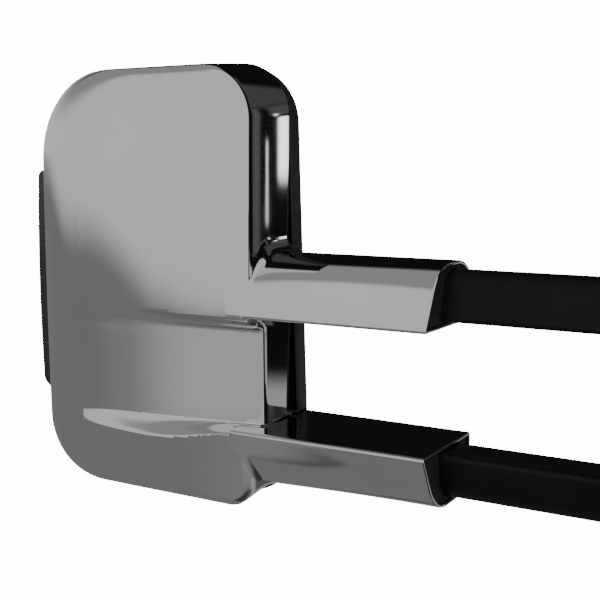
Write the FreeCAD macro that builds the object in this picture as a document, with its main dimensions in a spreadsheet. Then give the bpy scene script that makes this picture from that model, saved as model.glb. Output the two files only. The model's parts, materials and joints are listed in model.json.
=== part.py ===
import FreeCAD, Part
import math
import os
import Sketcher

# Twin-pole towing mirror for the side of a car or pickup that lies at +X of it.
#
# Origin: centre of the face that rests on the door. +X points into the door, the head lies towards -X,
# -Y is the way the car drives, the glass faces +Y, +Z is up. Millimetres.
#
# Four rigid groups: the base on the door, the yoke with both poles, the head that slides on the poles,
# and in the head two glasses, each on its own gimbal.

DIMENSIONS = {
    # door base
    "gasket_thickness": 2,
    "plate_thickness": 8,
    "plate_half_width": 60,
    "plate_half_height": 90,
    "stud_half_y": 42,
    "stud_half_z": 70,
    "stud_radius": 4,
    "stud_root_radius": 4.6,
    "stud_reach": 22,
    "grommet_y": 6,
    "grommet_z": -17,
    "grommet_seat": 13,
    "grommet_bore": 6,
    "lug_radius": 18,
    "lug_low": 34,
    "lug_high": 46,
    # folding pivot
    "pivot_x": -68,
    "pivot_radius": 6,
    "barrel_half_height": 29,
    "pivot_bush_radius": 9,
    "pivot_bush_length": 14,
    "disc_spring_rim": 12,
    "disc_spring_crown": 8.2,
    "disc_spring_height": 1.6,
    "disc_spring_thickness": 0.8,
    # poles
    "pole_flat": 42.5,
    "pole_height": 32,
    "pole_front": -12,
    "pole_back": 24,
    "pole_wall": 3,
    "pole_inner_end": -305,
    "pole_outer_end": -96,
    "yoke_near": -90,
    "yoke_far": -118,
    # sleeves of the head
    "sleeve_mouth": -235,
    "sleeve_flat": 38.5,
    "sleeve_height": 41,
    "sleeve_half_depth": 40,
    "shell_wall": 2.5,
    # head shell, measured on its rear rim
    "head_front": -40,
    "rim_y": 21,
    "rim_left": -584,
    "rim_right": -366,
    "rim_bottom": -103,
    "rim_top": 211,
    "left_sweep": 85,
    "top_sweep": 5,
    "bottom_sweep": 10,
    "corner_upper_left": 58,
    "corner_upper_right": 38,
    "corner_lower_left": 52,
    "corner_lower_right": 48,
    "corner_chin": 18,
    "recess_start": -548,
    "recess_depth": 18,
    # rear housing
    "bezel_y": 45.5,
    "bezel_thickness": 3,
    # glasses
    "glass_left": -566,
    "glass_right": -389,
    "main_bottom": 20,
    "main_top": 196,
    "spotter_bottom": -88,
    "spotter_top": 8,
    "glass_gap": 3,
    "glass_face": 36,
    "glass_thickness": 3,
    "heater_thickness": 0.8,
    "holder_thickness": 3,
    "spotter_curve": 520,
    "gimbal_y": 22,
    "rod_lever": 32,
    # actuator
    "case_radius": 48,
    "case_front": -8,
    "case_back": 14,
    "case_wall": 2,
    "case_screw_circle": 38,
    "trunnion_radius": 1.5,
    "gear_radius": 10,
    "gear_low": -1,
    "gear_high": 4,
    "gear_tooth_radius": 0.75,
    "gear_hub_radius": 5.5,
    "push_rod_radius": 3,
    "push_rod_ball": 3.6,
    "push_rod_ball_y": 23,
    "worm_offset": 13.9,
    "worm_y": 1.5,
    "worm_radius": 2.8,
    "motor_radius": 7,
    # carrier plate
    "carrier_front": -16,
    "carrier_back": -12.5,
    "carrier_left": -535,
    "carrier_right": -396,
    "carrier_bottom": -80,
    "carrier_top": 190,
    # friction shoes in the arm guides
    "shoe_pocket_far": -300,
    "shoe_pocket_near": -270,
    # side indicator
    "indicator_bottom": -43,
    "indicator_top": 134,
    "indicator_front": 5,
    "indicator_back": 19,
    "indicator_face": -593,
    # clearances
    "running_gap": 0.05,
    "sliding_gap": 0.3,
    "seam_gap": 0.3,
}

doc = FreeCAD.newDocument("towing_mirror")
sheet = doc.addObject("Spreadsheet::Sheet", "Dims")
for row, (alias, value) in enumerate(DIMENSIONS.items(), start=1):
    sheet.set(f"A{row}", alias)
    sheet.set(f"B{row}", str(value))
    sheet.setAlias(f"B{row}", alias)
doc.recompute()


class Size:
    """A length from the sheet, or worked out from some: its value, and the expression that binds it."""

    def __init__(self, value, text):
        self.value = float(value)
        self.text = text

    def __add__(self, other):
        other = as_size(other)
        return Size(self.value + other.value, f"({self.text} + {other.text})")

    def __sub__(self, other):
        other = as_size(other)
        return Size(self.value - other.value, f"({self.text} - {other.text})")

    def __mul__(self, factor):
        return Size(self.value * factor, f"({self.text} * {factor:.6f})")

    def __neg__(self):
        return self * -1


def as_size(value):
    return value if isinstance(value, Size) else Size(value, f"({value:.6f})")


def dim(alias):
    return Size(DIMENSIONS[alias], f"Dims.{alias}")


def bind(target, field, size):
    target.setExpression(field, as_size(size).text)


# ---------------------------------------------------------------- solids from primitives

AXES = {
    "X": FreeCAD.Rotation(FreeCAD.Vector(0, 1, 0), 90),
    "Y": FreeCAD.Rotation(FreeCAD.Vector(1, 0, 0), -90),
    "Z": FreeCAD.Rotation(),
}


def place(solid, x, y, z):
    for letter, value in zip("xyz", (x, y, z)):
        bind(solid, f"Placement.Base.{letter}", value)
    return solid


def block(x, y, z):
    """A box between two values of x, of y and of z."""
    box = doc.addObject("Part::Box", "Block")
    for field, (low, high) in zip(("Length", "Width", "Height"), (x, y, z)):
        bind(box, field, as_size(high) - low)
    return place(box, x[0], y[0], z[0])


def rod(axis, radius, span, centre):
    """A cylinder along an axis over a span, centred on the other two coordinates, in X, Y, Z order."""
    cylinder = doc.addObject("Part::Cylinder", "Rod")
    cylinder.Placement = FreeCAD.Placement(FreeCAD.Vector(), AXES[axis])
    bind(cylinder, "Radius", radius)
    bind(cylinder, "Height", as_size(span[1]) - span[0])
    at = list(centre)
    at.insert("XYZ".index(axis), span[0])
    return place(cylinder, *at)


def cone(radii, span, centre):
    """A cone frustum along Z over a span, with its radii at the lower and the upper end."""
    frustum = doc.addObject("Part::Cone", "Cone")
    bind(frustum, "Radius1", radii[0])
    bind(frustum, "Radius2", radii[1])
    bind(frustum, "Height", as_size(span[1]) - span[0])
    return place(frustum, *centre, span[0])


def ball(radius, centre):
    sphere = doc.addObject("Part::Sphere", "Ball")
    bind(sphere, "Radius", radius)
    return place(sphere, *centre)


def fuse(*solids):
    if len(solids) == 1:
        return solids[0]
    joined = doc.addObject("Part::MultiFuse", "Fuse")
    joined.Shapes = list(solids)
    joined.Refine = True
    return joined


def group(*solids):
    """Separate solids kept together in one sub-part."""
    together = doc.addObject("Part::Compound", "Group")
    together.Links = list(solids)
    return together


def cut(base, *tools):
    result = doc.addObject("Part::Cut", "Cut")
    result.Base = base
    result.Tool = fuse(*tools)
    return result


def common(base, tool):
    result = doc.addObject("Part::Common", "Common")
    result.Base = base
    result.Tool = tool
    return result


def tube(axis, outer, inner, span, centre):
    return cut(rod(axis, outer, span, centre), rod(axis, inner, span, centre))


# ---------------------------------------------------------------- sketched solids

NORMAL_SIGN = {"XY": 1, "XZ": -1, "YZ": 1}


def outline(body, plane, level, corners):
    """A closed outline on a plane of the body at a level, from corners (u, v, radius) in turning order."""
    sketch = body.newObject("Sketcher::SketchObject", "Outline")
    support = next(f for f in body.Origin.OriginFeatures if f.Role == f"{plane}_Plane")
    sketch.AttachmentSupport = [(support, "")]
    sketch.MapMode = "FlatFace"
    bind(sketch, "AttachmentOffset.Base.z", as_size(level) * NORMAL_SIGN[plane])
    points = [FreeCAD.Vector(as_size(u).value, as_size(v).value, 0) for u, v, _ in corners]
    radii = [as_size(radius).value for _, _, radius in corners]
    count = len(corners)
    ends, turns = [], []
    for i, corner in enumerate(points):
        arriving = (corner - points[i - 1]).normalize()
        leaving = (points[(i + 1) % count] - corner).normalize()
        turn = math.atan2(arriving.cross(leaving).z, arriving.dot(leaving))
        reach = radii[i] * math.tan(abs(turn) / 2)
        ends.append((corner - arriving * reach, corner + leaving * reach))
        turns.append((turn, arriving))
    for i in range(count):
        sketch.addGeometry(Part.LineSegment(ends[i][1], ends[(i + 1) % count][0]), False)
    rules, bound = [], []
    for i, (u, v, radius) in enumerate(corners):
        before, after = (i - 1) % count, i
        if radii[i] == 0:
            rules.append(Sketcher.Constraint("Coincident", before, 2, after, 1))
            held = (after, 1)
        else:
            turn, arriving = turns[i]
            side = math.copysign(1, turn)
            inward = FreeCAD.Vector(-arriving.y, arriving.x, 0) * side
            centre = ends[i][0] + inward * radii[i]
            start = math.atan2(-inward.y, -inward.x)
            first, last = (start, start + turn) if turn > 0 else (start + turn, start)
            circle = Part.Circle(centre, FreeCAD.Vector(0, 0, 1), radii[i])
            arc = sketch.addGeometry(Part.ArcOfCircle(circle, first, last), False)
            mark = sketch.addGeometry(Part.Point(points[i]), True)
            near, far = (1, 2) if turn > 0 else (2, 1)
            rules.append(Sketcher.Constraint("Tangent", before, 2, arc, near))
            rules.append(Sketcher.Constraint("Tangent", arc, far, after, 1))
            rules.append(Sketcher.Constraint("PointOnObject", mark, 1, before))
            rules.append(Sketcher.Constraint("PointOnObject", mark, 1, after))
            bound.append((len(rules), radius))
            rules.append(Sketcher.Constraint("Radius", arc, radii[i]))
            held = (mark, 1)
        for kind, value in (("DistanceX", u), ("DistanceY", v)):
            bound.append((len(rules), value))
            rules.append(Sketcher.Constraint(kind, -1, 1, *held, as_size(value).value))
    sketch.addConstraint(rules)
    for index, value in bound:
        bind(sketch, f"Constraints[{index}]", value)
    return sketch


def prism(plane, corners, low, high):
    """A body padded from an outline, between two levels along the plane's own axis."""
    body = doc.addObject("PartDesign::Body", "Prism")
    start = low if NORMAL_SIGN[plane] > 0 else high
    sketch = outline(body, plane, start, corners)
    pad = body.newObject("PartDesign::Pad", "Pad")
    pad.Profile = sketch
    bind(pad, "Length", as_size(high) - low)
    return body


def lofted(plane, sections, ruled=False):
    """A body lofted through outlines (level, corners) of the same number of corners."""
    body = doc.addObject("PartDesign::Body", "Loft")
    sketches = [outline(body, plane, level, corners) for level, corners in sections]
    loft = body.newObject("PartDesign::AdditiveLoft", "Loft")
    loft.Profile = sketches[0]
    loft.Sections = sketches[1:]
    loft.Ruled = ruled
    return body


def rectangle(u, v, radius=0):
    """Corners of a rectangle between two values of u and of v."""
    return [(u[0], v[0], radius), (u[1], v[0], radius), (u[1], v[1], radius), (u[0], v[1], radius)]


parts = {}


def sub_part(label, solid):
    solid.Label = label
    parts[label] = solid
    return solid


# ---------------------------------------------------------------- shared outlines

pole_flat = dim("pole_flat")
pole_top = pole_flat + dim("pole_height")
sleeve_flat = dim("sleeve_flat")
sleeve_top = sleeve_flat + dim("sleeve_height")
half_depth = dim("sleeve_half_depth")
seam = dim("seam_gap")
pivot_x = dim("pivot_x")
pivot_y = (dim("pole_front") + dim("pole_back")) * 0.5
pivot = (pivot_x, pivot_y)


def mirrored(corners):
    """The same outline turned over about the level between the poles."""
    return [(u, -as_size(v), radius) for u, v, radius in reversed(corners)]


def pole_outline(grow=0):
    """D-shaped section of the upper pole, flat below, its front leaning back, grown outwards."""
    front, back = dim("pole_front") - grow, dim("pole_back") + grow
    low, high = pole_flat - grow, pole_top + grow
    return [
        (front, low, 3),
        (back, low, 3),
        (back, high, as_size(14) + grow),
        (front + 8, high, as_size(16) + grow),
    ]


def sleeve_outline(shrink=0):
    """Section of the upper sleeve: flat below, domed above, its front leaning further back than its rear."""
    front, back = -half_depth + shrink, half_depth - shrink
    low, high = sleeve_flat + shrink, sleeve_top - shrink
    return [
        (front, low, 2),
        (back, low, 2),
        (back, high, as_size(26) - shrink),
        (front + 21, high, as_size(32) - shrink),
    ]


def both_levels(corners, low, high):
    """A pair of prisms along X from a section and from the same section turned over."""
    return [prism("YZ", shape, low, high) for shape in (corners, mirrored(corners))]


LEVELS = ("upper", "lower")


# ---------------------------------------------------------------- door base (fixed)

gasket_face = -dim("gasket_thickness")
plate_face = gasket_face - dim("plate_thickness")
half_width, half_height = dim("plate_half_width"), dim("plate_half_height")
stud_places = [
    (dim("stud_half_y") * across, dim("stud_half_z") * up) for across in (-1, 1) for up in (-1, 1)
]
grommet_at = (dim("grommet_y"), dim("grommet_z"))
grommet_seat = dim("grommet_seat")


def plate_outline(grow):
    return rectangle(
        (-half_width - grow, half_width + grow), (-half_height - grow, half_height + grow), 16
    )


def door_base():
    plate = prism("YZ", plate_outline(0), plate_face, gasket_face)
    lugs = []
    for side in (1, -1):
        span = sorted((dim("lug_low") * side, dim("lug_high") * side), key=lambda size: size.value)
        arm = block((pivot_x, plate_face + 2), (pivot_y - 16, pivot_y + 16), span)
        lugs += [rod("Z", dim("lug_radius"), span, pivot), arm]
        tip = span[1] + 22 if side > 0 else span[0] - 22
        base = span[1] if side > 0 else span[0]
        gusset = [(plate_face - 24, base, 0), (plate_face + 2, base, 0), (plate_face + 2, tip, 0)]
        if side < 0:
            gusset.reverse()
        for rib_y in (pivot_y - 12, pivot_y + 12):
            lugs.append(prism("XZ", gusset, rib_y - 2.5, rib_y + 2.5))
    through_plate = (plate_face - 1, gasket_face + 1)
    holes = [rod("X", dim("stud_root_radius"), through_plate, at) for at in stud_places]
    wire_hole = rod("X", grommet_seat, through_plate, grommet_at)
    through_lugs = (-dim("lug_high") - 1, dim("lug_high") + 1)
    pin_hole = rod("Z", dim("pivot_radius") + dim("running_gap"), through_lugs, pivot)
    sub_part("base_bracket", cut(fuse(plate, *lugs), *holes, wire_hole, pin_hole))

    gasket = prism("YZ", plate_outline(-1), gasket_face, 0)
    clear = [rod("X", dim("stud_radius") + 1.5, (gasket_face - 1, 1), at) for at in stud_places]
    wire_clear = rod("X", grommet_seat + 3, (gasket_face - 1, 1), grommet_at)
    sub_part("base_gasket", cut(gasket, *clear, wire_clear))

    studs = []
    for at in stud_places:
        collar = rod("X", dim("stud_radius") + 3, (plate_face - 4, plate_face), at)
        root = rod("X", dim("stud_root_radius"), (plate_face, gasket_face), at)
        thread = rod("X", dim("stud_radius"), (gasket_face, dim("stud_reach")), at)
        studs.append(fuse(thread, root, collar))
    sub_part("mounting_studs", group(*studs))

    flange = 2.5
    body = rod("X", grommet_seat, (plate_face, gasket_face), grommet_at)
    front = rod("X", grommet_seat + 2, (plate_face - flange, plate_face), grommet_at)
    back = rod("X", grommet_seat + 2, (gasket_face, 0), grommet_at)
    bore = rod("X", dim("grommet_bore"), (plate_face - flange - 1, 1), grommet_at)
    sub_part("cable_grommet", cut(fuse(body, front, back), bore))

    outer = lofted(
        "YZ",
        [
            (gasket_face - 0.5, plate_outline(6)),
            (plate_face - 8, plate_outline(5)),
            (plate_face - 16, plate_outline(-2)),
        ],
        ruled=True,
    )
    inner = lofted(
        "YZ",
        [
            (gasket_face + 1, plate_outline(1.5)),
            (plate_face - 7, plate_outline(1)),
            (plate_face - 13.5, plate_outline(-5)),
        ],
        ruled=True,
    )
    slot_reach = dim("lug_high") + 30
    slot = block((plate_face - 30, gasket_face), (pivot_y - 22, pivot_y + 22), (-slot_reach, slot_reach))
    sub_part("base_cover", cut(outer, inner, slot))


# ---------------------------------------------------------------- folding pivot

def folding_pivot():
    low, high = dim("lug_low"), dim("lug_high")
    pin_radius = dim("pivot_radius")
    shank = rod("Z", pin_radius, (-high - 1, high + 26), pivot)
    head = rod("Z", 11, (-high - 6, -high), pivot)
    sub_part("pivot_pin", fuse(shank, head))
    barrel = dim("barrel_half_height")
    bore = pin_radius + 0.3
    sub_part("upper_thrust_washer", tube("Z", 17, bore, (barrel + seam, low - 0.1), pivot))
    sub_part("lower_thrust_washer", tube("Z", 17, bore, (-low + 0.1, -barrel - seam), pivot))
    sub_part("spring_seat", tube("Z", 13, bore, (high, high + 2), pivot))
    washer_low = high + 15.5
    count = 8
    pitch = (washer_low - high - 2) * (1 / count)
    discs = [disc_spring(high + 2.04 + pitch * step, step % 2 == 1) for step in range(count)]
    sub_part("disc_springs", group(*discs))
    sub_part("spring_washer", tube("Z", 13, bore, (washer_low, washer_low + 2), pivot))
    nut = prism("XY", hexagon(10.4, pivot), washer_low + 2, washer_low + 9)
    sub_part("pivot_nut", cut(nut, rod("Z", pin_radius, (washer_low, washer_low + 10), pivot)))
    dome = fuse(
        rod("Z", 17.5, (high + seam, high + 22), pivot),
        rod("Z", 15, (high + 22, high + 30), pivot),
    )
    hollow = fuse(
        rod("Z", 15.3, (high - 1, high + 20), pivot),
        rod("Z", 12.8, (high + 20, high + 28), pivot),
    )
    sub_part("pivot_cap", cut(dome, hollow))
    foot = rod("Z", 14.5, (-high - 10, -high - seam), pivot)
    sub_part("pivot_foot_cap", cut(foot, rod("Z", 12, (-high - 7.5, -high), pivot)))


def disc_spring(low, turned):
    """A conical spring washer round the pivot, its rim below its crown unless it is turned over."""
    height, thickness = dim("disc_spring_height"), dim("disc_spring_thickness")
    radii = [dim("disc_spring_rim"), dim("disc_spring_crown")]
    below = low - thickness
    if turned:
        radii.reverse()
        below = low + thickness
    blank = cone(radii, (low, low + height), pivot)
    dish = cone(radii, (below, below + height), pivot)
    return cut(blank, dish, rod("Z", dim("pivot_radius") + 0.3, (low - 1, low + height + 1), pivot))


def hexagon(radius, centre):
    """Corners of a nut with the given radius to its corners."""
    u, v = centre
    shape = []
    for step in range(6):
        angle = math.radians(60 * step)
        shape.append((u + radius * math.cos(angle), v + radius * math.sin(angle), 0))
    return shape


# ---------------------------------------------------------------- yoke and poles (folds)

def yoke_and_poles():
    near, far = dim("yoke_near"), dim("yoke_far")
    barrel = dim("barrel_half_height")
    post = rod("Z", dim("lug_radius"), (-barrel, barrel), pivot)
    web = block((near - 4, pivot_x), (pivot_y - 13, pivot_y + 13), (-barrel, barrel))
    spine = block((far + 3, near - 2), (pivot_y - 18, pivot_y + 18), (-pole_flat, pole_flat))
    sockets = both_levels(pole_outline(6), far, near)
    relief = block((far + 2, near - 6), (pivot_y - 14, pivot_y + 14), (-pole_flat + 10, pole_flat - 10))
    bores = both_levels(pole_outline(0.1), far - 1, dim("pole_outer_end"))
    bush, bush_end = dim("pivot_bush_radius"), barrel - dim("pivot_bush_length")
    bush_bores = [rod("Z", bush, span, pivot) for span in ((-barrel - 1, -bush_end), (bush_end, barrel + 1))]
    pin_clear = rod("Z", dim("pivot_radius") + 1.5, (-barrel, barrel), pivot)
    screw_places = [(far + 8, 1), (far + 18, 1), (far + 8, -1), (far + 18, -1)]
    screw_holes, screws, pole_holes = [], [], {1: [], -1: []}
    for at_x, side in screw_places:
        inner, outer = (pole_top - 5) * side, (pole_top + 7) * side
        span = (inner, outer) if side > 0 else (outer, inner)
        screw_holes.append(rod("Z", 3, span, (at_x, pivot_y)))
        pole_holes[side].append(rod("Z", 3.1, span, (at_x, pivot_y)))
        seat = (pole_top + 6) * side
        head = (seat, seat + 4) if side > 0 else (seat - 4, seat)
        shank = (pole_top - 4) * side
        shank_span = (shank, seat) if side > 0 else (seat, shank)
        button = rod("Z", 4.6, head, (at_x, pivot_y))
        screws.append(fuse(rod("Z", 2.9, shank_span, (at_x, pivot_y)), button))
    casting = fuse(post, web, spine, *sockets)
    sub_part("yoke", cut(casting, relief, *bores, *bush_bores, pin_clear, *screw_holes))
    sub_part("pole_screws", group(*screws))

    bore = dim("pivot_radius") + dim("running_gap")
    for level, span in zip(LEVELS, ((bush_end, barrel + 0.2), (-barrel - 0.2, -bush_end))):
        sub_part(f"{level}_pivot_bush", tube("Z", bush - 0.1, bore, span, pivot))

    ends = dim("pole_inner_end"), dim("pole_outer_end") - 0.2
    outers = both_levels(pole_outline(), *ends)
    inners = both_levels(pole_outline(-dim("pole_wall")), ends[0] - 1, ends[1] + 1)
    for level, side, outer, inner in zip(LEVELS, (1, -1), outers, inners):
        sub_part(f"{level}_pole", cut(outer, inner, *pole_holes[side]))
    plugs = both_levels(pole_outline(-dim("pole_wall") - 0.1), ends[0], ends[0] + 8)
    for level, plug in zip(LEVELS, plugs):
        sub_part(f"{level}_pole_plug", plug)


# ---------------------------------------------------------------- head shell

head_front, rim_y = dim("head_front"), dim("rim_y")
glass_left, glass_right = dim("glass_left"), dim("glass_right")
glass_x = (glass_left + glass_right) * 0.5
main_z = (dim("main_bottom") + dim("main_top")) * 0.5
spotter_z = (dim("spotter_bottom") + dim("spotter_top")) * 0.5


def head_section(part_way, wall):
    """Outline of the head at a share of the way from its front face (0) to its rear rim (1)."""
    back = 1 - part_way
    swept = 1 - (1 - back**1.6) ** 0.625
    rolled = 1 - math.sqrt(1 - back**2)
    edge = max(0.0, 1 - part_way / 0.1)
    right = dim("rim_right") + 4 * back - 5 * (1 - math.sqrt(1 - edge**2)) - wall
    left = dim("rim_left") + dim("left_sweep") * swept + wall
    bottom = dim("rim_bottom") + dim("bottom_sweep") * rolled + wall
    top = dim("rim_top") - dim("top_sweep") * rolled - wall
    chin = dim("corner_chin") + (dim("corner_lower_right") - dim("corner_chin")) * part_way
    return [
        (left, bottom, dim("corner_lower_left") - wall),
        (right, bottom, chin - wall),
        (right, top, dim("corner_upper_right") - wall),
        (left, top, dim("corner_upper_left") - wall),
    ]


def head_loft(wall, overrun):
    """The head from its front face to its rear rim, inset by a wall; overrun carries it past the rim."""
    depth = rim_y - head_front - wall
    shares = (0, 0.015, 0.05, 0.12, 0.26, 0.5, 0.75, 1)
    sections = [(head_front + wall + depth * share, head_section(share, wall)) for share in shares]
    if overrun:
        sections.append((rim_y + overrun, head_section(1, wall)))
    return lofted("XZ", sections)


def recess(wall):
    """Wedge taken out of the front between the sleeves, deepest at the inboard edge."""
    start, end = dim("recess_start"), dim("rim_right") + 12
    depth, front = dim("recess_depth"), head_front - 2
    corners = [
        (start, front, 0),
        (end, front, 0),
        (end, head_front + depth + wall, 0),
        (start + 12, head_front + wall, 0),
    ]
    return prism("XY", corners, -sleeve_flat - wall, sleeve_flat + wall)


boss_places = [(-515, 172), (-410, 178), (-515, -58), (-410, -68)]


def chrome_shell():
    wall, right = dim("shell_wall"), dim("rim_right")
    root, mouth = right + 1.5, dim("sleeve_mouth")

    def in_head(inset, reach, past):
        """The sleeves' outline carried into the head, no deeper than the head itself."""
        solids = both_levels(sleeve_outline(inset), right - reach, root + past)
        upright = (-sleeve_top - 1, sleeve_top + 1)
        depth = block((right - 20, root + past), (head_front - 1, rim_y + past), upright)
        return [common(solid, depth) for solid in solids]

    outer = cut(head_loft(0, 0), recess(0))
    cavity = cut(head_loft(wall, 4), recess(wall))
    sleeves = both_levels(sleeve_outline(), root, mouth)
    bores = both_levels(sleeve_outline(wall), root, mouth + 1)
    stubs, throats = in_head(0, 8, 0), in_head(wall, 10, 1)
    slot = block(
        (dim("rim_left") - 6, dim("rim_left") + 10),
        (dim("indicator_front"), dim("indicator_back")),
        (dim("indicator_bottom"), dim("indicator_top")),
    )
    hollow = cut(fuse(outer, *sleeves, *stubs), cavity, *bores, *throats, slot)
    bosses = []
    for x, z in boss_places:
        post = rod("Y", 5, (head_front + wall - 1, dim("carrier_front")), (x, z))
        pilot = rod("Y", 2.1, (head_front + wall + 4, dim("carrier_front") + 1), (x, z))
        bosses.append(cut(post, pilot))
    sub_part("chrome_shell", fuse(hollow, *bosses))


def rear_housing():
    rim, bezel = rim_y + seam, dim("bezel_y")
    wall, thick = dim("shell_wall"), dim("bezel_thickness")
    corner_names = ("lower_left", "lower_right", "upper_right", "upper_left")
    radii = [dim(f"corner_{name}") for name in corner_names]

    def ring(right_shift, inset):
        left, right = dim("rim_left") + inset, dim("rim_right") - right_shift - inset
        bottom, top = dim("rim_bottom") + inset, dim("rim_top") - inset
        places = ((left, bottom), (right, bottom), (right, top), (left, top))
        return [(u, v, radius - inset) for (u, v), radius in zip(places, radii)]

    outer_sections = [
        (rim, ring(0, 0)),
        (bezel - 8, ring(3.5, 1)),
        (bezel - 2, ring(5, 2.5)),
        (bezel, ring(6, 5)),
    ]
    inner_sections = [
        (rim - 1, ring(0, wall)),
        (bezel - 8, ring(3.5, wall + 1)),
        (bezel - thick, ring(5, wall + 3)),
    ]
    outer = lofted("XZ", outer_sections, ruled=True)
    inner = lofted("XZ", inner_sections, ruled=True)
    gap = dim("glass_gap")
    main_window = glass_area("main", gap, (8, 8, 30, 46))
    spot_window = glass_area("spotter", gap, (42, 38, 8, 8))
    windows = [prism("XZ", shape, rim - 1, bezel + 1) for shape in (main_window, spot_window)]
    notches = [
        block(
            (dim("rim_right") - 12, dim("rim_right") + 4),
            (rim - 1, dim("pole_back") + 3),
            (pole_flat - 3, pole_top + 3) if side > 0 else (-pole_top - 3, -pole_flat + 3),
        )
        for side in (1, -1)
    ]
    sub_part("rear_housing", cut(outer, inner, *windows, *notches))


def glass_area(name, grow, radii):
    """Outline of the main or the spotter glass, grown outwards, with its corner radii in turning order."""
    across = (glass_left - grow, glass_right + grow)
    upright = (dim(f"{name}_bottom") - grow, dim(f"{name}_top") + grow)
    return [(u, v, radius) for (u, v, _), radius in zip(rectangle(across, upright), radii)]


# ---------------------------------------------------------------- arm guides in the sleeves

def arm_guides():
    wall, mouth = dim("shell_wall"), dim("sleeve_mouth")
    root = dim("rim_right") + 3
    slide = dim("sliding_gap")
    guides = both_levels(sleeve_outline(wall + 0.2), root, mouth - 8)
    bores = both_levels(pole_outline(slide), root - 1, mouth)
    wipers = both_levels(sleeve_outline(wall + 0.2), mouth - 7.5, mouth - 2)
    pole_back = dim("pole_back")
    far, near = dim("shoe_pocket_far"), dim("shoe_pocket_near")
    for level, side, guide, bore, wiper in zip(LEVELS, (1, -1), guides, bores, wipers):
        middle = (pole_flat + dim("pole_height") * 0.5) * side
        pocket = block((far, near), (pole_back, pole_back + 10), (middle - 7, middle + 7))
        sub_part(f"{level}_arm_guide", cut(guide, bore, pocket))
        sub_part(f"{level}_sleeve_wiper", cut(wiper, bore))
        shoe_z, spring_z = (middle - 6.7, middle + 6.7), (middle - 5, middle + 5)
        shoe = block((far + 0.3, near - 0.3), (pole_back + 0.2, pole_back + 4), shoe_z)
        sub_part(f"{level}_friction_shoe", shoe)
        leaf = block((far + 1, near - 1), (pole_back + 4.1, pole_back + 4.9), spring_z)
        feet = [
            block((x, x + 1), (pole_back + 4.9, pole_back + 9.8), spring_z) for x in (far + 1, near - 2)
        ]
        sub_part(f"{level}_shoe_spring", fuse(leaf, *feet))


# ---------------------------------------------------------------- carrier plate and actuator

screw_circle = dim("case_screw_circle")
case_screw_places = [
    (
        glass_x + screw_circle * math.cos(math.radians(angle)),
        main_z + screw_circle * math.sin(math.radians(angle)),
    )
    for angle in (90, 180, 315)
]


def carrier():
    low, high = dim("carrier_front"), dim("carrier_back")
    left, right = dim("carrier_left"), dim("carrier_right")
    plate = prism("XZ", rectangle((left, right), (dim("carrier_bottom"), dim("carrier_top")), 12), low, high)
    ribs = [
        block((left + 10, right - 10), (high - 0.5, high + 4), (z, z + 3)) for z in (158, 14, -20)
    ]
    holes = [rod("Y", 2.4, (low - 1, high + 1), at) for at in boss_places]
    window = rod("Y", 20, (low - 1, high + 1), (glass_x, main_z))
    screw_holes = [rod("Y", 1.8, (low - 1, high + 1), at) for at in case_screw_places]
    sub_part("carrier_plate", cut(fuse(plate, *ribs), *holes, *screw_holes, window))
    screws = []
    for x, z in boss_places:
        shank = rod("Y", 2, (low - 12, high), (x, z))
        screws.append(fuse(shank, rod("Y", 4.5, (high, high + 3), (x, z))))
    sub_part("carrier_screws", group(*screws))


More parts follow.
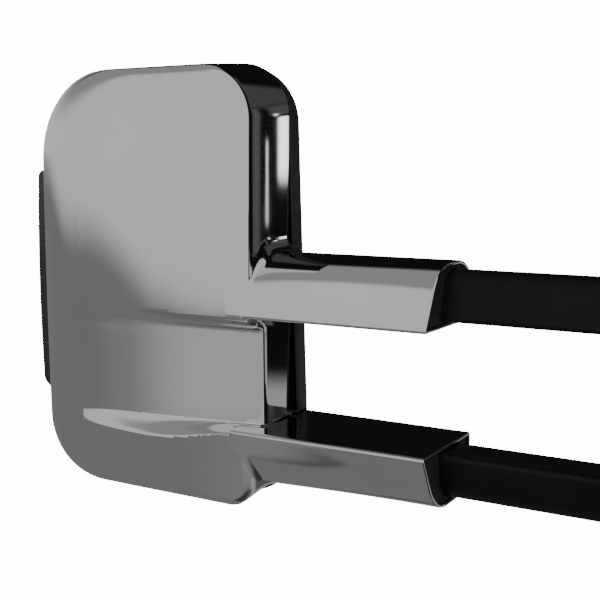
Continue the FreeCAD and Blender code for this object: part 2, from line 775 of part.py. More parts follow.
def actuator():
    front, back, wall = dim("case_front"), dim("case_back"), dim("case_wall")
    radius = dim("case_radius")
    centre = (glass_x, main_z)
    lever = dim("rod_lever")
    split = back - 5
    tub = cut(
        rod("Y", radius, (front, split), centre), rod("Y", radius - wall, (front + wall, split + 1), centre)
    )
    legs, screws, screw_bores = [], [], []
    carrier_front, carrier_back = dim("carrier_front"), dim("carrier_back")
    for at in case_screw_places:
        legs.append(rod("Y", 4, (carrier_back, front + 6), at))
        screw_bores.append(rod("Y", 1.6, (carrier_back - 1, front + 4), at))
        shank = rod("Y", 1.5, (carrier_front, front + 3), at)
        screws.append(fuse(shank, rod("Y", 3.4, (carrier_front - 2.4, carrier_front), at)))
    sub_part("actuator_case", cut(fuse(tub, *legs), *screw_bores))
    sub_part("actuator_screws", group(*screws))

    rim = rod("Y", radius, (split + 0.1, back), centre)
    lid = cut(rim, rod("Y", radius - wall, (split, back - wall), centre))
    ears = [
        block((glass_x + low, glass_x + high), (back - 1, 24.5), (main_z - 4, main_z + 4))
        for low, high in ((-24, -20.5), (20.5, 24))
    ]
    trunnion_bore = dim("trunnion_radius") + 0.1
    trunnion = rod("X", trunnion_bore, (glass_x - 25, glass_x + 25), (dim("gimbal_y"), main_z))
    tilt_at, pan_at = (glass_x, main_z - lever), (glass_x + lever, main_z)
    stem_radius, ball_radius = dim("push_rod_radius"), dim("push_rod_ball")
    rod_holes = [rod("Y", stem_radius + 0.3, (back - 6, back + 1), at) for at in (tilt_at, pan_at)]
    sub_part("actuator_cover", cut(fuse(lid, *ears), trunnion, *rod_holes))

    gear, hub_radius = dim("gear_radius"), dim("gear_hub_radius")
    low, high = dim("gear_low"), dim("gear_high")
    tooth_count = 20
    for name, at in (("tilt", tilt_at), ("pan", pan_at)):
        wheel = rod("Y", gear, (low, high), at)
        teeth = []
        for step in range(tooth_count):
            angle = 2 * math.pi * step / tooth_count
            tooth_at = (at[0] + gear * math.cos(angle), at[1] + gear * math.sin(angle))
            teeth.append(rod("Y", dim("gear_tooth_radius"), (low, high), tooth_at))
        hub = rod("Y", hub_radius, (high - 0.5, 11.5), at)
        hub_base = rod("Y", hub_radius, (front + wall + 0.1, low + 0.5), at)
        bore = rod("Y", stem_radius + dim("running_gap"), (front, back), at)
        sub_part(f"{name}_drive_gear", cut(fuse(wheel, hub, hub_base, *teeth), bore))
        stem = rod("Y", stem_radius, (front + wall + 5, dim("push_rod_ball_y") - 1), at)
        sub_part(f"{name}_push_rod", fuse(stem, ball(ball_radius, (at[0], dim("push_rod_ball_y"), at[1]))))

    offset, worm_y = dim("worm_offset"), dim("worm_y")
    can, screw = dim("motor_radius"), dim("worm_radius")
    tilt_axis = (worm_y, main_z - lever + offset)
    sub_part("tilt_motor", rod("X", can, (glass_x - 33, glass_x - 13), tilt_axis))
    sub_part("tilt_worm", rod("X", screw, (glass_x - 12.8, glass_x + 8), tilt_axis))
    pan_axis = (glass_x + lever - offset, worm_y)
    sub_part("pan_motor", rod("Z", can, (main_z + 12, main_z + 32), pan_axis))
    sub_part("pan_worm", rod("Z", screw, (main_z - 8, main_z + 11.8), pan_axis))


# ---------------------------------------------------------------- glasses

def gimbal_ring(name, centre_z, outer, inner, reach):
    """Ring with four trunnions: the pair along X turns in the fixed ears, the pair along Z in the holder."""
    middle, pin = dim("gimbal_y"), dim("trunnion_radius")
    band = tube("Y", outer, inner, (middle - 2, middle + 2), (glass_x, centre_z))
    spans = ((inner + 1, reach), (-reach, -inner - 1))
    pins = [rod("X", pin, (glass_x + low, glass_x + high), (middle, centre_z)) for low, high in spans]
    pins += [rod("Z", pin, (centre_z + low, centre_z + high), (glass_x, middle)) for low, high in spans]
    sub_part(name, fuse(band, *pins))


def holder_ears(centre_z, near, far, root):
    """Two ears on the back of a glass holder, with the holes for the ring's upright trunnions."""
    ears = [
        block((glass_x - 4, glass_x + 4), (19.5, root), (centre_z + low, centre_z + high))
        for low, high in ((-far, -near), (near, far))
    ]
    span = (centre_z - far - 1, centre_z + far + 1)
    hole = rod("Z", dim("trunnion_radius") + 0.1, span, (glass_x, dim("gimbal_y")))
    return ears, hole


def main_glass():
    face = dim("glass_face")
    glass_back = face - dim("glass_thickness")
    heater_back = glass_back - dim("heater_thickness")
    holder_back = heater_back - dim("holder_thickness")

    def pane(inset):
        return glass_area("main", -inset, (6, 6, 27, 43))

    sub_part("main_mirror_glass", prism("XZ", pane(1.2), glass_back, face))
    sub_part("main_heater", prism("XZ", pane(8), heater_back + 0.05, glass_back - 0.05))
    tray = prism("XZ", pane(0), holder_back, face - 0.4)
    bed = prism("XZ", pane(1), heater_back, face + 1)
    ears, hole = holder_ears(main_z, 20.5, 24, holder_back + 1)
    sub_part("main_glass_holder", cut(fuse(cut(tray, bed), *ears), hole))


def spotter():
    face = dim("glass_face")
    curve = dim("spotter_curve")
    crown = face + 4
    middle_z = spotter_z

    def pane(inset):
        return glass_area("spotter", -inset, (39, 35, 6, 6))

    sphere_at = (glass_x, crown - curve, middle_z)
    full = common(prism("XZ", pane(1.2), face - 12, crown + 2), ball(curve, sphere_at))
    sub_part("spotter_mirror_glass", cut(full, ball(curve - 3, sphere_at)))
    tray = common(prism("XZ", pane(0), 27.5, crown + 2), ball(curve - 0.6, sphere_at))
    bed = cut(prism("XZ", pane(1), 20, crown + 3), ball(curve - 3.1, sphere_at))
    hollow = common(prism("XZ", pane(6), 20, crown), ball(curve - 6, sphere_at))
    pad = rectangle((glass_x - 12, glass_x + 12), (middle_z - 24, middle_z + 24), 4)
    core = prism("XZ", pad, 28, crown)
    tray_back = cut(tray, bed, cut(hollow, core))
    ears, hole = holder_ears(middle_z, 14.5, 18, 29.5)
    sub_part("spotter_glass_holder", cut(fuse(tray_back, *ears), hole))
    gimbal_ring("spotter_gimbal_ring", middle_z, 13, 9, 17.8)
    post = rod("Y", 16, (dim("carrier_back"), 14), (glass_x, middle_z))
    ears = [
        block((glass_x + low, glass_x + high), (10, 24.5), (middle_z - 4, middle_z + 4))
        for low, high in ((-18, -14.5), (14.5, 18))
    ]
    trunnion_bore = dim("trunnion_radius") + 0.1
    trunnion = rod("X", trunnion_bore, (glass_x - 19, glass_x + 19), (dim("gimbal_y"), middle_z))
    sub_part("spotter_bracket", cut(fuse(post, *ears), trunnion))


# ---------------------------------------------------------------- side indicator

def indicator():
    low, high = dim("indicator_bottom") + seam, dim("indicator_top") - seam
    front, back = dim("indicator_front") + seam, dim("indicator_back") - seam
    lens_root = dim("rim_left") + 5
    lens_face = dim("indicator_face")
    shape = [(lens_face, front, 4), (lens_root, front, 0), (lens_root, back, 0), (lens_face, back, 4)]
    lens = prism("XY", shape, low, high)
    room = rectangle((lens_face + 2, lens_root + 1), (front + 2, back - 2))
    hollow = prism("XY", room, low + 2, high - 2)
    sub_part("indicator_lens", cut(lens, hollow))
    tray_root = lens_root + 9.5
    tray = block((lens_root + 0.1, tray_root), (front, back), (low, high))
    room = block((lens_root, tray_root - 1.5), (front + 1.5, back - 1.5), (low + 1.5, high - 1.5))
    sub_part("indicator_housing", cut(tray, room))
    board = block((tray_root - 3.2, tray_root - 1.6), (front + 2, back - 2), (low + 3, high - 3))
    sub_part("indicator_board", board)
    leds = []
    for step in range(8):
        z = low + 14 + step * 21.5
        leds.append(block((tray_root - 5, tray_root - 3.2), (front + 4.5, back - 4.5), (z, z + 3)))
    sub_part("indicator_leds", group(*leds))


door_base()
folding_pivot()
yoke_and_poles()
chrome_shell()
rear_housing()
arm_guides()
carrier()
actuator()
gimbal_ring("main_gimbal_ring", main_z, 19, 14, 23.8)
main_glass()
spotter()
indicator()
doc.recompute()

faults = [f"{item.Name} ({item.Label}): {item.State}" for item in doc.Objects
          if "Invalid" in item.State or "Error" in item.State]
for label, solid in parts.items():
    if solid.Shape.isNull() or not solid.Shape.isValid() or not solid.Shape.Solids:
        faults.append(f"{label}: shape is null, invalid or has no solid")
if faults:
    raise RuntimeError("\n".join(faults))

os.makedirs("parts", exist_ok=True)
for label, solid in parts.items():
    solid.Shape.exportStep(os.path.join("parts", f"{label}.step"))
    print(f"{label}: {len(solid.Shape.Solids)} solids, {solid.Shape.Volume / 1000:.2f} cm3")
print(f"{len(parts)} sub-parts")
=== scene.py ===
import json
from math import degrees, radians
import bmesh
import bpy
import numpy as np
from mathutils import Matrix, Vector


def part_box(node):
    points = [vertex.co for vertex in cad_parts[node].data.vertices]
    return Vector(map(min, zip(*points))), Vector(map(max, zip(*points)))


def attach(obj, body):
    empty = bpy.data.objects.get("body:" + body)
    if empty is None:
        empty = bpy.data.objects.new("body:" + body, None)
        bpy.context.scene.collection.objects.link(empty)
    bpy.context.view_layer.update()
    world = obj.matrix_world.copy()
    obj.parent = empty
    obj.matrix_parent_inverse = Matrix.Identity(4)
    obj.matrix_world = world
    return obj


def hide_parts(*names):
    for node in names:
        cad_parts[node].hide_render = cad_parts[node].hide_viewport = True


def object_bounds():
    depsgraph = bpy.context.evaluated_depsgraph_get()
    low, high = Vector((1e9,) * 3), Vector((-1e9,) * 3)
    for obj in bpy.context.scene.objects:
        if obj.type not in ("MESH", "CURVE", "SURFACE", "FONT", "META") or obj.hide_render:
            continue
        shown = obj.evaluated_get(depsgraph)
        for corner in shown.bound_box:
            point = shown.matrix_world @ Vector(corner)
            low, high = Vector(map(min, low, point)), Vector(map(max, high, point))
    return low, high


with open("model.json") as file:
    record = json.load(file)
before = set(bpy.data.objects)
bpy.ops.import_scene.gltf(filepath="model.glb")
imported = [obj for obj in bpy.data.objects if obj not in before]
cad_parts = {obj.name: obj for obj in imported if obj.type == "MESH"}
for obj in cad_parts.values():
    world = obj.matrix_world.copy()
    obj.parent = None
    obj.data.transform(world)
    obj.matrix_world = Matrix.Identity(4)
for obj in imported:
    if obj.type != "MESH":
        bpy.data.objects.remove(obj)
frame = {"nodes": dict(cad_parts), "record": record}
cad_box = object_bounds()

# The shapes below are in millimetres: X towards the door, -Y the way the car drives, Z up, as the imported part
# has them.
MM = 0.001


# ---------------------------------------------------------------- materials

class Nodes:
    """A node tree with the wiring written as calls."""

    def __init__(self, tree):
        self.tree = tree
        tree.nodes.clear()

    def add(self, kind, **values):
        node = self.tree.nodes.new(kind)
        for name, value in values.items():
            if name in node.inputs:
                self.put(node.inputs[name], value)
            else:
                setattr(node, name, value)
        return node

    def put(self, socket, value):
        if isinstance(value, bpy.types.NodeSocket):
            self.tree.links.new(value, socket)
        else:
            socket.default_value = value

    def math(self, operation, a, b=0.0, c=0.0):
        node = self.tree.nodes.new("ShaderNodeMath")
        node.operation = operation
        for socket, value in zip(node.inputs, (a, b, c)):
            self.put(socket, value)
        return node.outputs[0]

    def ramp(self, value, stops):
        node = self.tree.nodes.new("ShaderNodeValToRGB")
        node.color_ramp.interpolation = "EASE"
        elements = node.color_ramp.elements
        while len(elements) < len(stops):
            elements.new(0.5)
        for element, (position, grey) in zip(elements, stops):
            element.position = position
            element.color = (grey, grey, grey, 1)
        self.put(node.inputs[0], value)
        return node.outputs[0]

    def noise(self, vector, scale, detail=3.0, roughness=0.5):
        node = self.tree.nodes.new("ShaderNodeTexNoise")
        self.put(node.inputs["Vector"], vector)
        node.inputs["Scale"].default_value = scale
        node.inputs["Detail"].default_value = detail
        node.inputs["Roughness"].default_value = roughness
        return node.outputs[0]

    def mix(self, share, a, b):
        node = self.tree.nodes.new("ShaderNodeMix")
        node.data_type = "RGBA"
        self.put(node.inputs[0], share)
        for socket, value in ((node.inputs[6], a), (node.inputs[7], b)):
            self.put(socket, (*value, 1) if isinstance(value, tuple) else value)
        return node.outputs[2]


def new_material(name):
    material = bpy.data.materials.new(name)
    material.use_nodes = True
    nodes = Nodes(material.node_tree)
    shader = nodes.add("ShaderNodeBsdfPrincipled")
    output = nodes.add("ShaderNodeOutputMaterial")
    nodes.put(output.inputs["Surface"], shader.outputs[0])
    where = nodes.add("ShaderNodeTexCoord").outputs["Object"]
    return material, nodes, shader, where


def bumped(nodes, shader, height, strength, distance):
    bump = nodes.add("ShaderNodeBump", Height=height, Strength=strength, Distance=distance)
    nodes.put(shader.inputs["Normal"], bump.outputs[0])


def finish(name, colour, second, rough, metallic=0.0, spread=0.1, grain=900.0, bump=0.2,
           depth=0.0002, blotch=35.0, specular=0.5, coat=0.0, stretch=(1, 1, 1)):
    """A moulded, cast, plated or brushed finish: blotches of a second colour and a fine, uneven grain."""
    material, nodes, shader, where = new_material(name)
    placed = nodes.add("ShaderNodeMapping", Vector=where, Scale=stretch).outputs[0]
    patches = nodes.ramp(nodes.noise(where, blotch, 5.0), [(0.35, 0.0), (0.68, 1.0)])
    fine = nodes.noise(placed, grain, 2.0, 0.6)
    nodes.put(shader.inputs["Base Color"], nodes.mix(patches, colour, second))
    shader.inputs["Metallic"].default_value = metallic
    shader.inputs["Specular IOR Level"].default_value = specular
    shader.inputs["Coat Weight"].default_value = coat
    uneven = nodes.math("MULTIPLY_ADD", nodes.noise(placed, grain * 0.25, 3.0), spread, rough - spread / 2)
    nodes.put(shader.inputs["Roughness"], uneven)
    bumped(nodes, shader, fine, bump, depth)
    return material


def chrome_finish():
    """Bright plate: a near mirror with a breath of haze, sparse wiping marks and pin-prick dust."""
    material, nodes, shader, where = new_material("chrome plate")
    haze = nodes.ramp(nodes.noise(where, 14.0, 4.0), [(0.3, 0.0), (0.75, 1.0)])
    marks = nodes.add("ShaderNodeMapping", Vector=where, Rotation=(0.0, 0.5, 0.2), Scale=(60, 260, 900))
    wiped = nodes.ramp(nodes.noise(marks.outputs[0], 1.0, 2.0), [(0.62, 0.0), (0.8, 1.0)])
    specks = nodes.ramp(nodes.noise(where, 1300.0, 1.0), [(0.78, 0.0), (0.83, 1.0)])
    nodes.put(shader.inputs["Base Color"], nodes.mix(haze, (0.83, 0.835, 0.84), (0.79, 0.795, 0.80)))
    shader.inputs["Metallic"].default_value = 1.0
    rough = nodes.math("MULTIPLY_ADD", haze, 0.03, 0.035)
    rough = nodes.math("MULTIPLY_ADD", wiped, 0.03, rough)
    rough = nodes.math("MULTIPLY_ADD", specks, 0.25, rough)
    nodes.put(shader.inputs["Roughness"], rough)
    bumped(nodes, shader, nodes.noise(where, 22.0, 1.0), 0.05, 0.0006)
    return material


def mirror_finish():
    """Silvered glass with a faint film and a few dried drops."""
    material, nodes, shader, where = new_material("mirror glass")
    film = nodes.noise(where, 9.0, 4.0)
    drops = nodes.ramp(nodes.noise(where, 420.0, 1.0), [(0.76, 0.0), (0.8, 1.0)])
    nodes.put(shader.inputs["Base Color"], nodes.mix(film, (0.80, 0.83, 0.84), (0.86, 0.88, 0.88)))
    shader.inputs["Metallic"].default_value = 1.0
    rough = nodes.math("MULTIPLY_ADD", film, 0.03, 0.005)
    nodes.put(shader.inputs["Roughness"], nodes.math("MULTIPLY_ADD", drops, 0.12, rough))
    return material


def smoked_finish():
    """Dark glossy lens, ribbed inside by fine upright flutes."""
    material, nodes, shader, where = new_material("smoked lens")
    flutes = nodes.add("ShaderNodeTexWave", Vector=where, Scale=60.0, bands_direction="Z").outputs["Fac"]
    nodes.put(shader.inputs["Base Color"], nodes.mix(flutes, (0.012, 0.012, 0.013), (0.022, 0.02, 0.02)))
    shader.inputs["Coat Weight"].default_value = 0.6
    shader.inputs["Coat Roughness"].default_value = 0.08
    dust = nodes.noise(where, 240.0, 3.0)
    nodes.put(shader.inputs["Roughness"], nodes.math("MULTIPLY_ADD", dust, 0.12, 0.22))
    bumped(nodes, shader, flutes, 0.05, 0.0004)
    return material


def board_finish():
    """Green solder mask over a grid of copper tracks."""
    material, nodes, shader, where = new_material("circuit board")
    cells = nodes.add("ShaderNodeTexBrick", Vector=where, Scale=260.0)
    cells.inputs["Color1"].default_value = (0.02, 0.13, 0.05, 1)
    cells.inputs["Color2"].default_value = (0.03, 0.18, 0.07, 1)
    cells.inputs["Mortar"].default_value = (0.30, 0.22, 0.08, 1)
    nodes.put(shader.inputs["Base Color"], cells.outputs["Color"])
    nodes.put(shader.inputs["Roughness"], nodes.math("MULTIPLY_ADD", nodes.noise(where, 300.0), 0.2, 0.35))
    bumped(nodes, shader, cells.outputs["Fac"], 0.2, 0.0001)
    return material


def heater_finish():
    """Orange film with a printed meander of darker lines."""
    material, nodes, shader, where = new_material("heater film")
    turned = nodes.add("ShaderNodeMapping", Vector=where, Rotation=(0.0, 0.02, 0.0))
    lines = nodes.add("ShaderNodeTexWave", Vector=turned.outputs[0], Scale=55.0, Distortion=1.5,
                      bands_direction="Z").outputs["Fac"]
    share = nodes.ramp(lines, [(0.6, 0.0), (0.7, 1.0)])
    nodes.put(shader.inputs["Base Color"], nodes.mix(share, (0.42, 0.20, 0.06), (0.16, 0.12, 0.10)))
    nodes.put(shader.inputs["Roughness"], nodes.math("MULTIPLY_ADD", nodes.noise(where, 200.0), 0.2, 0.4))
    bumped(nodes, shader, share, 0.3, 0.00005)
    return material


MATERIALS = {
    "chrome": chrome_finish(),
    "mirror": mirror_finish(),
    "textured_black": finish("moulded black", (0.020, 0.020, 0.021), (0.027, 0.027, 0.028), 0.5, spread=0.14,
                             grain=1500.0, bump=0.35, depth=0.00025, blotch=18.0, specular=0.35),
    "pole_black": finish("pole powder coat", (0.006, 0.006, 0.0063), (0.010, 0.010, 0.0104), 0.42,
                         spread=0.14, grain=1100.0, bump=0.18, depth=0.0002, blotch=22.0, specular=0.2,
                         stretch=(0.25, 1, 1)),
    "cast_black": finish("cast black", (0.020, 0.020, 0.021), (0.030, 0.030, 0.031), 0.55, spread=0.2,
                         grain=650.0, bump=0.4, depth=0.0004, blotch=26.0, specular=0.35),
    "rubber": finish("rubber", (0.014, 0.014, 0.014), (0.024, 0.024, 0.023), 0.75, spread=0.15, grain=800.0,
                     bump=0.25, blotch=50.0, specular=0.25),
    "zinc_steel": finish("zinc plate", (0.52, 0.52, 0.50), (0.60, 0.59, 0.54), 0.34, metallic=1.0,
                         spread=0.2, grain=700.0, bump=0.15, blotch=90.0),
    "spring_steel": finish("phosphated steel", (0.22, 0.22, 0.225), (0.30, 0.29, 0.28), 0.45, metallic=1.0,
                           spread=0.2, grain=600.0, bump=0.2, blotch=120.0),
    "acetal": finish("natural acetal", (0.70, 0.69, 0.64), (0.76, 0.75, 0.69), 0.42, spread=0.14, grain=500.0,
                     bump=0.1, blotch=60.0),
    "inner_black": finish("glass-filled nylon", (0.025, 0.025, 0.026), (0.040, 0.040, 0.041), 0.6,
                          spread=0.2, grain=420.0, bump=0.3, blotch=70.0, specular=0.35, stretch=(1, 1, 0.3)),
    "motor_steel": finish("plated can", (0.48, 0.48, 0.49), (0.58, 0.57, 0.56), 0.3, metallic=1.0,
                          spread=0.15, grain=500.0, bump=0.1, blotch=110.0),
    "brass": finish("turned brass", (0.62, 0.44, 0.18), (0.70, 0.52, 0.24), 0.3, metallic=1.0, spread=0.2,
                    grain=900.0, bump=0.2, blotch=80.0, stretch=(3, 0.5, 3)),
    "heater_film": heater_finish(),
    "smoked_lens": smoked_finish(),
    "circuit_board": board_finish(),
    "led": finish("amber diode", (0.75, 0.42, 0.06), (0.82, 0.52, 0.10), 0.25, grain=600.0, bump=0.1,
                  coat=0.5),
}

for part in frame["record"]["subparts"]:
    slots = frame["nodes"][part["node"]].data.materials
    material = MATERIALS[part["material_slot"]]
    if len(slots) == 0:
        slots.append(material)
    for index in range(len(slots)):
        slots[index] = material


# ---------------------------------------------------------------- surfaces from fields
#
# A field is negative inside the shape and positive outside, in millimetres. Its zero is the surface.

def rounded_meet(a, b, radius):
    """Where two half spaces meet, the edge rounded to a radius."""
    outer = np.hypot(np.maximum(a + radius, 0), np.maximum(b + radius, 0))
    return np.minimum(np.maximum(a, b), -radius) + outer


def polygon_field(u, v, corners):
    """A convex outline from corners (u, v, radius) in anticlockwise order, each corner rounded exactly."""
    count = len(corners)
    spots = [np.array(corner[:2], float) for corner in corners]
    normals, distances = [], []
    for spot, following in zip(spots, spots[1:] + spots[:1]):
        run = (following - spot) / np.linalg.norm(following - spot)
        normal = np.array([run[1], -run[0]])
        normals.append(normal)
        distances.append((u - spot[0]) * normal[0] + (v - spot[1]) * normal[1])
    result = np.maximum.reduce(distances)
    for i in range(count):
        before, after, radius = normals[i - 1], normals[i], corners[i][2]
        reach = radius / (1 + before @ after)
        centre = spots[i] - (before + after) * reach
        away_u, away_v = u - centre[0], v - centre[1]
        in_cone = (before[0] * away_v - before[1] * away_u > 0) & (away_u * after[1] - away_v * after[0] > 0)
        result = np.where(in_cone, np.hypot(away_u, away_v) - radius, result)
    return result


def soft_join(a, b, width):
    gap = np.maximum(width - np.abs(a - b), 0) / width
    return np.minimum(a, b) - gap * gap * width / 4


def soft_cut(a, b, width):
    return -soft_join(-a, b, width)


def ramp_between(value, low, high):
    share = np.clip((value - low) / (high - low), 0, 1)
    return share * share * (3 - 2 * share)


def gradient(field, points, reach=0.02):
    slopes = []
    for axis in range(3):
        step = np.zeros(3)
        step[axis] = reach
        slopes.append((field(*(points + step).T) - field(*(points - step).T)) / (2 * reach))
    return np.stack(slopes, axis=1)


def settle(field, points, rounds=4, held=None):
    """Moves points onto the surface, along the slope, and along no axis in which a point is held."""
    for _ in range(rounds):
        slope = gradient(field, points)
        if held is not None:
            slope = slope * ~held
        length = np.maximum((slope ** 2).sum(axis=1), 0.04)
        move = field(*points.T) / length
        points = points - np.clip(move, -1.5, 1.5)[:, None] * slope
    return points


def surface_net(field, low, high, step):
    """Quads over the zero of a field, one vertex in every cell of a grid that the surface crosses."""
    axes = [np.arange(a, b + step, step) for a, b in zip(low, high)]
    values = field(*np.meshgrid(*axes, indexing="ij"))
    inside = values < 0
    shape = np.array(inside.shape) - 1
    total = np.zeros(shape, np.float64)
    place = np.zeros((*shape, 3))
    for axis in range(3):
        others = [other for other in range(3) if other != axis]
        ahead, behind = [slice(None)] * 3, [slice(None)] * 3
        ahead[axis], behind[axis] = slice(1, None), slice(None, -1)
        ahead, behind = tuple(ahead), tuple(behind)
        crossed = inside[ahead] != inside[behind]
        spread = values[behind] - values[ahead]
        share = np.where(crossed, values[behind] / np.where(crossed, spread, 1), 0)
        for i in (0, 1):
            for j in (0, 1):
                window = [slice(None)] * 3
                window[others[0]] = slice(i, shape[others[0]] + i)
                window[others[1]] = slice(j, shape[others[1]] + j)
                window = tuple(window)
                hit = crossed[window]
                total += hit
                place[..., axis] += share[window] * hit
                place[..., others[0]] += i * hit
                place[..., others[1]] += j * hit
    used = total > 0
    number = np.full(shape, -1)
    number[used] = np.arange(used.sum())
    corner = np.stack(np.nonzero(used), axis=1)
    points = (corner + place[used] / total[used][:, None]) * step + np.array([a[0] for a in axes])
    faces = []
    for axis in range(3):
        u, v = (axis + 1) % 3, (axis + 2) % 3
        low_side = [slice(1, -1)] * 3
        low_side[axis] = slice(None, -1)
        high_side = list(low_side)
        high_side[axis] = slice(1, None)
        first, second = inside[tuple(low_side)], inside[tuple(high_side)]
        for leaving in (True, False):
            crossing = (first & ~second) if leaving else (~first & second)
            cell = np.stack(np.nonzero(crossing), axis=1)
            cell[:, [u, v]] += 1
            ring = []
            for du, dv in ((-1, -1), (0, -1), (0, 0), (-1, 0)):
                at = cell.copy()
                at[:, u] += du
                at[:, v] += dv
                ring.append(number[tuple(at.T)])
            ring = np.stack(ring if leaving else ring[::-1], axis=1)
            faces.append(ring)
    return settle(field, points), np.concatenate(faces)


def split_at(mesh, axis, value, keep=None):
    """Cuts the mesh's faces along a plane, all of them or those that keep accepts by their centre."""
    faces = [face for face in mesh.faces if keep is None or keep(face.calc_center_median())]
    edges = {edge for face in faces for edge in face.edges}
    corners = {vertex for face in faces for vertex in face.verts}
    normal, origin = [0.0] * 3, [0.0] * 3
    normal[axis], origin[axis] = 1.0, value
    bmesh.ops.bisect_plane(mesh, geom=[*corners, *edges, *faces], dist=0.01, plane_co=origin, plane_no=normal)


def drop_faces(mesh, unwanted):
    gone = [face for face in mesh.faces if unwanted(face.calc_center_median())]
    bmesh.ops.delete(mesh, geom=gone, context="FACES")


def shell(name, field, net, cuts, unwanted, wall, lip_steps=4):
    """A thin walled piece: the surface of a field, opened where faces are unwanted, given a wall thickness
    inwards and a half-round lip round each opening. cuts are (axis, value, keep)."""
    points, quads = net
    mesh = bmesh.new()
    corners = [mesh.verts.new(point) for point in points]
    for quad in quads:
        mesh.faces.new([corners[i] for i in quad])
    planes = {}
    for axis, value, keep in cuts:
        split_at(mesh, axis, value, keep)
        planes.setdefault(axis, []).append(value)
    drop_faces(mesh, unwanted)
    loose = [vertex for vertex in mesh.verts if not vertex.link_faces]
    bmesh.ops.delete(mesh, geom=loose, context="VERTS")
    mesh.verts.index_update()
    outer = np.array([vertex.co for vertex in mesh.verts])
    held = np.zeros(outer.shape, bool)
    for axis, values in planes.items():
        for value in values:
            held[:, axis] |= np.abs(outer[:, axis] - value) < 0.02
    rim_edges = []
    on_rim = np.zeros(len(outer), bool)
    for edge in mesh.edges:
        if edge.is_boundary:
            a, b = (vertex.index for vertex in edge.link_loops[0].face.verts if vertex in edge.verts)
            first = edge.link_loops[0].vert.index
            rim_edges.append((first, b if first == a else a))
            on_rim[[a, b]] = True
    outer = settle(field, outer, 3, held & on_rim[:, None])
    slope = gradient(field, outer)
    normal = slope / np.maximum(np.linalg.norm(slope, axis=1), 1e-9)[:, None]
    inner = outer - normal * wall
    faces = [[vertex.index for vertex in face.verts] for face in mesh.faces]
    mesh.free()

    count = len(outer)
    out_of = np.zeros(outer.shape)
    for start, end in rim_edges:
        along = outer[end] - outer[start]
        side = np.cross(along, normal[start] + normal[end])
        side /= max(np.linalg.norm(side), 1e-9)
        out_of[start] += side
        out_of[end] += side
    length = np.maximum(np.linalg.norm(out_of, axis=1), 1e-9)[:, None]
    out_of = out_of / length
    vertices, normals = [outer, inner], [normal, -normal]
    rim_number = {}
    rim = sorted({index for edge in rim_edges for index in edge})
    at, out, up = outer[rim], out_of[rim], normal[rim]
    for step in range(1, lip_steps):
        angle = np.pi * step / lip_steps
        facing = up * np.cos(angle) + out * np.sin(angle)
        vertices.append(at - up * wall / 2 + facing * wall / 2)
        normals.append(facing)
        base = 2 * count + (step - 1) * len(rim)
        for order, index in enumerate(rim):
            rim_number[step, index] = base + order
    for index in rim:
        rim_number[0, index] = index
        rim_number[lip_steps, index] = index + count
    polygons = faces + [[index + count for index in reversed(face)] for face in faces]
    for start, end in rim_edges:
        for step in range(lip_steps):
            polygons.append([rim_number[step, end], rim_number[step, start],
                             rim_number[step + 1, start], rim_number[step + 1, end]])
    return build(name, np.concatenate(vertices), polygons, np.concatenate(normals))


def build(name, vertices, polygons, normals):
    data = bpy.data.meshes.new(name)
    data.from_pydata((vertices * MM).tolist(), [], polygons)
    data.polygons.foreach_set("use_smooth", [True] * len(data.polygons))
    data.update()
    data.normals_split_custom_set_from_vertices(normals.tolist())
    piece = bpy.data.objects.new(name, data)
    bpy.context.scene.collection.objects.link(piece)
    return piece


def install(piece, body, slot_name, *nodes):
    piece.data.materials.append(MATERIALS[slot_name])
    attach(piece, body)
    if nodes:
        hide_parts(*nodes)


# ---------------------------------------------------------------- chrome shell of the head

head_low, head_high = [np.array(corner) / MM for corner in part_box("chrome_shell")]
LEFT, BOTTOM, TOP = head_low[0], head_low[2], head_high[2]
FRONT, MOUTH = head_low[1], head_high[0]
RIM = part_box("rear_housing")[0][1] / MM - 0.3
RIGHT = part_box("rear_housing")[1][0] / MM
DEPTH = RIM - FRONT
FLAT, DOME, HALF_DEPTH = 38.5, 79.5, 40.0
ROOT = RIGHT + 1.5
WALL = 2.5
SWEEP = 70.0
UPPER_CORNER, LOWER_CORNER, INBOARD_CORNER, FRONT_EDGE = 64.0, 42.0, 38.0, 5.5
RECESS_START, RECESS_RUN, RECESS_DEPTH, RECESS_ROLL = -560.0, 194.0, 18.0, 12.0
SLOT_SIDE, SLOT_Y, SLOT_Z = -560.0, (5.0, 19.0), (-43.0, 134.0)
CHROME_STEP, HOUSING_STEP, LENS_STEP = 2.2, 2.0, 1.0


def sleeve_field(x, y, z):
    """Both sleeves: a D section, flat towards the gap between them. Its front stands upright where it leaves
    the head and leans back more and more towards the mouth."""
    def section(lean, radius):
        return polygon_field(y, np.abs(z), [
            (-HALF_DEPTH, FLAT, 2.0),
            (HALF_DEPTH, FLAT, 2.0),
            (HALF_DEPTH, DOME, 26.0),
            (-HALF_DEPTH + lean, DOME, radius),
        ])

    share = ramp_between(x, RIGHT - 20, MOUTH)
    return (1 - share) * section(2.0, 30.0) + share * section(21.0, 32.0)


